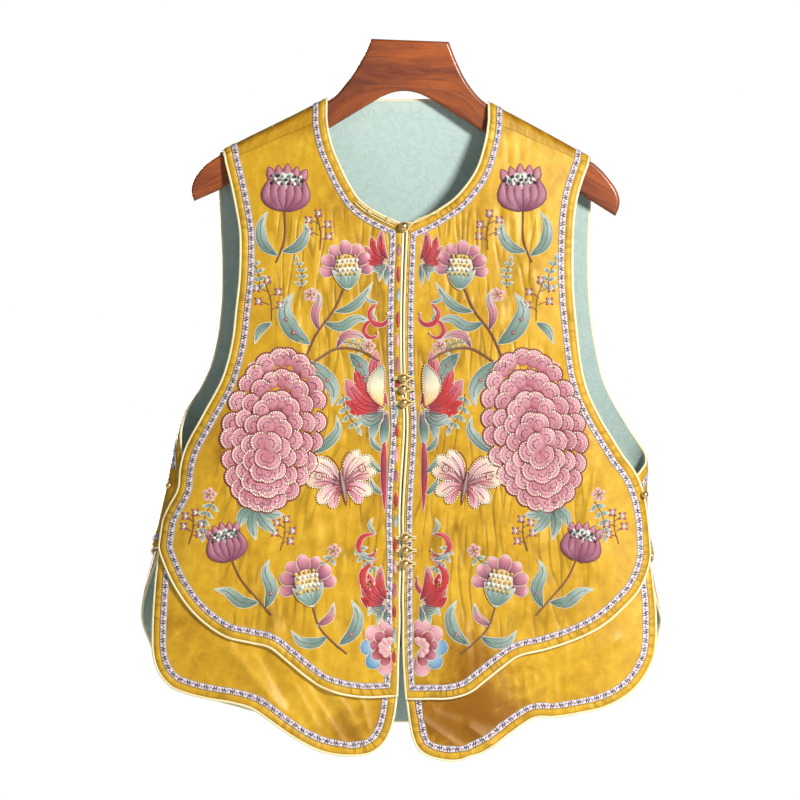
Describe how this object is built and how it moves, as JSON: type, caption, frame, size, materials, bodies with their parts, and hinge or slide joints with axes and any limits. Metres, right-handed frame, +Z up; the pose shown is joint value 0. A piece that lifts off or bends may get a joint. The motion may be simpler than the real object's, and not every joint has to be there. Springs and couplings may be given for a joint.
{
  "type": "embroidered waistcoat on wooden hanger",
  "caption": "Sleeveless silk waistcoat with a round neck, button front and scalloped two-tier hem, hanging on a flat wooden hanger.",
  "frame": {"origin": "middle of the hanger's flat top, where it is held", "axes": "+Z up, front of the waistcoat facing -Y, the viewer's right is +X"},
  "size_m": [0.4851, 0.0849, 0.6732],
  "materials": {
    "hanger_wood": "varnished",
    "gold_silk": "satin silk",
    "lining_silk": "figured silk",
    "printed_ribbon": "woven ribbon",
    "cream_piping": "satin bias piping",
    "button_brass": "polished",
    "loop_cord": "stitched cord"
  },
  "bodies": {
    "root": {"hanger": "hanger_wood", "front_left": "gold_silk", "front_right": "gold_silk", "tier_front_left": "gold_silk", "tier_front_right": "gold_silk", "back": "gold_silk", "tier_back": "gold_silk", "lining_back": "lining_silk", "lining_tier_back": "lining_silk", "ribbon_front_left": "printed_ribbon", "ribbon_front_right": "printed_ribbon", "ribbon_tier_front_left": "printed_ribbon", "ribbon_tier_front_right": "printed_ribbon", "ribbon_back": "printed_ribbon", "ribbon_tier_back": "printed_ribbon", "ribbon_armhole_left": "printed_ribbon", "ribbon_armhole_right": "printed_ribbon", "ribbon_neck": "printed_ribbon", "piping_front_left": "cream_piping", "piping_front_right": "cream_piping", "piping_tier_front_left": "cream_piping", "piping_tier_front_right": "cream_piping", "piping_back": "cream_piping", "piping_tier_back": "cream_piping", "piping_armhole_left": "cream_piping", "piping_armhole_right": "cream_piping", "piping_neck": "cream_piping", "button_chest_1": "button_brass", "button_chest_2": "button_brass", "button_chest_3": "button_brass", "button_waist_1": "button_brass", "button_waist_2": "button_brass", "button_waist_3": "button_brass", "button_neck": "button_brass", "button_side_left": "button_brass", "button_side_right": "button_brass", "knot_neck_1": "button_brass", "knot_neck_2": "button_brass", "loop_chest_1": "loop_cord", "loop_chest_2": "loop_cord", "loop_chest_3": "loop_cord", "loop_waist_1": "loop_cord", "loop_waist_2": "loop_cord", "loop_waist_3": "loop_cord", "loop_neck": "loop_cord"}
  },
  "joints": []
}
